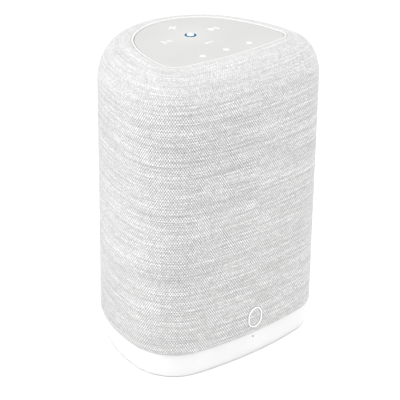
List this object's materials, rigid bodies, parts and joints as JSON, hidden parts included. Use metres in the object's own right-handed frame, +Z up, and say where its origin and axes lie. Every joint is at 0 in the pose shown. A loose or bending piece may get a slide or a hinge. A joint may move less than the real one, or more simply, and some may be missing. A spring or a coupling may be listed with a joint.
{
  "type": "smart speaker",
  "caption": "Fabric-covered two-way smart speaker, rounded-triangle plan, touch panel with lit ring on top, white base band and rear socket bay.",
  "frame": {"origin": "on the table, under the middle of the speaker's box", "axes": "+Z up, front faces -Y, rear sockets face +Y, +X to the right seen from the front"},
  "size_m": [0.1278, 0.1094, 0.183],
  "materials": {
    "cover_fabric": "heathered light grey and white woven speaker cloth",
    "cage_plastic": "moulded, matt",
    "cap_plastic": "moulded, matt",
    "trim_white": "satin white",
    "panel_white": "fine satin",
    "icon_white": "smooth translucent white",
    "ring_light": "diffusing light guide, lit",
    "circuit_board": "green solder mask",
    "led_package": "clear over white",
    "inner_plastic": "moulded, matt",
    "screw_steel": "zinc plated",
    "badge_plastic": "satin",
    "base_white": "satin white",
    "foot_rubber": "soft, matt",
    "insert_brass": "machined",
    "lens_dark": "dark tinted, polished",
    "gasket_foam": "closed-cell foam",
    "damping_wool": "loose polyester wadding",
    "basket_steel": "black powder coat",
    "cone_paper": "coated paper",
    "former_film": "amber film",
    "coil_copper": "enamelled copper wire",
    "surround_rubber": "matt rubber",
    "spider_cloth": "resin-treated cotton",
    "motor_steel": "zinc plated",
    "magnet_ferrite": "sintered ferrite",
    "magnet_plated": "nickel plated",
    "lead_insulation": "soft insulation",
    "faceplate_plastic": "moulded, matt",
    "dome_silk": "coated silk",
    "heatsink_aluminium": "extruded",
    "shield_metal": "tin-plated can",
    "psu_laminate": "paper laminate",
    "transformer_tape": "wrapped tape",
    "capacitor_sleeve": "shrink sleeve",
    "panel_grey": "fine moulded texture",
    "inlet_black": "moulded, matt",
    "pin_metal": "nickel plated",
    "jack_metal": "plated shell",
    "button_metal": "satin anodised"
  },
  "bodies": {
    "cabinet": {"fabric_sleeve": "cover_fabric", "grille_frame": "cage_plastic", "top_cap": "cap_plastic", "top_trim_ring": "trim_white", "touch_panel": "panel_white", "touch_icons": "icon_white", "status_ring": "ring_light", "touch_board": "circuit_board", "sensor_board": "circuit_board", "main_board": "circuit_board", "io_board": "circuit_board", "antennas": "circuit_board", "ring_leds": "led_package", "top_deck": "inner_plastic", "front_baffle": "inner_plastic", "cabinet_shell": "inner_plastic", "bass_port": "inner_plastic", "base_plate": "inner_plastic", "deck_screws": "screw_steel", "base_screws": "screw_steel", "baffle_screws": "screw_steel", "driver_screws": "screw_steel", "board_screws": "screw_steel", "rear_panel_screws": "screw_steel", "emblem": "badge_plastic", "base_ring": "base_white", "foot_pad": "foot_rubber", "threaded_insert": "insert_brass", "psu_standoffs": "insert_brass", "sensor_lens": "lens_dark", "cabinet_gasket": "gasket_foam", "damping_foam": "damping_wool", "woofer_basket": "basket_steel", "woofer_surround": "surround_rubber", "woofer_spider": "spider_cloth", "woofer_top_plate": "motor_steel", "woofer_yoke": "motor_steel", "tweeter_yoke": "motor_steel", "woofer_magnet": "magnet_ferrite", "tweeter_magnet": "magnet_plated", "speaker_leads": "lead_insulation", "tweeter_faceplate": "faceplate_plastic", "heatsink": "heatsink_aluminium", "wifi_module": "shield_metal", "psu_board": "psu_laminate", "psu_transformer": "transformer_tape", "psu_capacitors": "capacitor_sleeve", "bay_frame": "panel_grey", "rear_panel": "panel_grey", "mains_inlet": "inlet_black", "audio_jack": "inlet_black", "mains_pins": "pin_metal", "ethernet_jack": "jack_metal", "usb_jack": "jack_metal"},
    "woofer_cone": {"woofer_cone": "cone_paper", "woofer_dust_cap": "cone_paper", "coil_former": "former_film", "voice_coil": "coil_copper"},
    "tweeter_dome": {"tweeter_dome": "dome_silk"},
    "service_button": {"service_button": "button_metal"}
  },
  "joints": [
    {"name": "woofer_travel", "type": "slide", "parent": "cabinet", "child": "woofer_cone", "axis": [0, -1, 0], "range_m": [-0.003, 0.003], "stiffness_N_per_m": 1000, "deforming": ["woofer_surround", "woofer_spider"]},
    {"name": "tweeter_travel", "type": "slide", "parent": "cabinet", "child": "tweeter_dome", "axis": [0, -1, 0], "range_m": [-0.0003, 0.0003], "stiffness_N_per_m": 100},
    {"name": "button_press", "type": "slide", "parent": "cabinet", "child": "service_button", "axis": [0, -1, 0], "range_m": [0, 0.0008], "stiffness_N_per_m": 200}
  ]
}
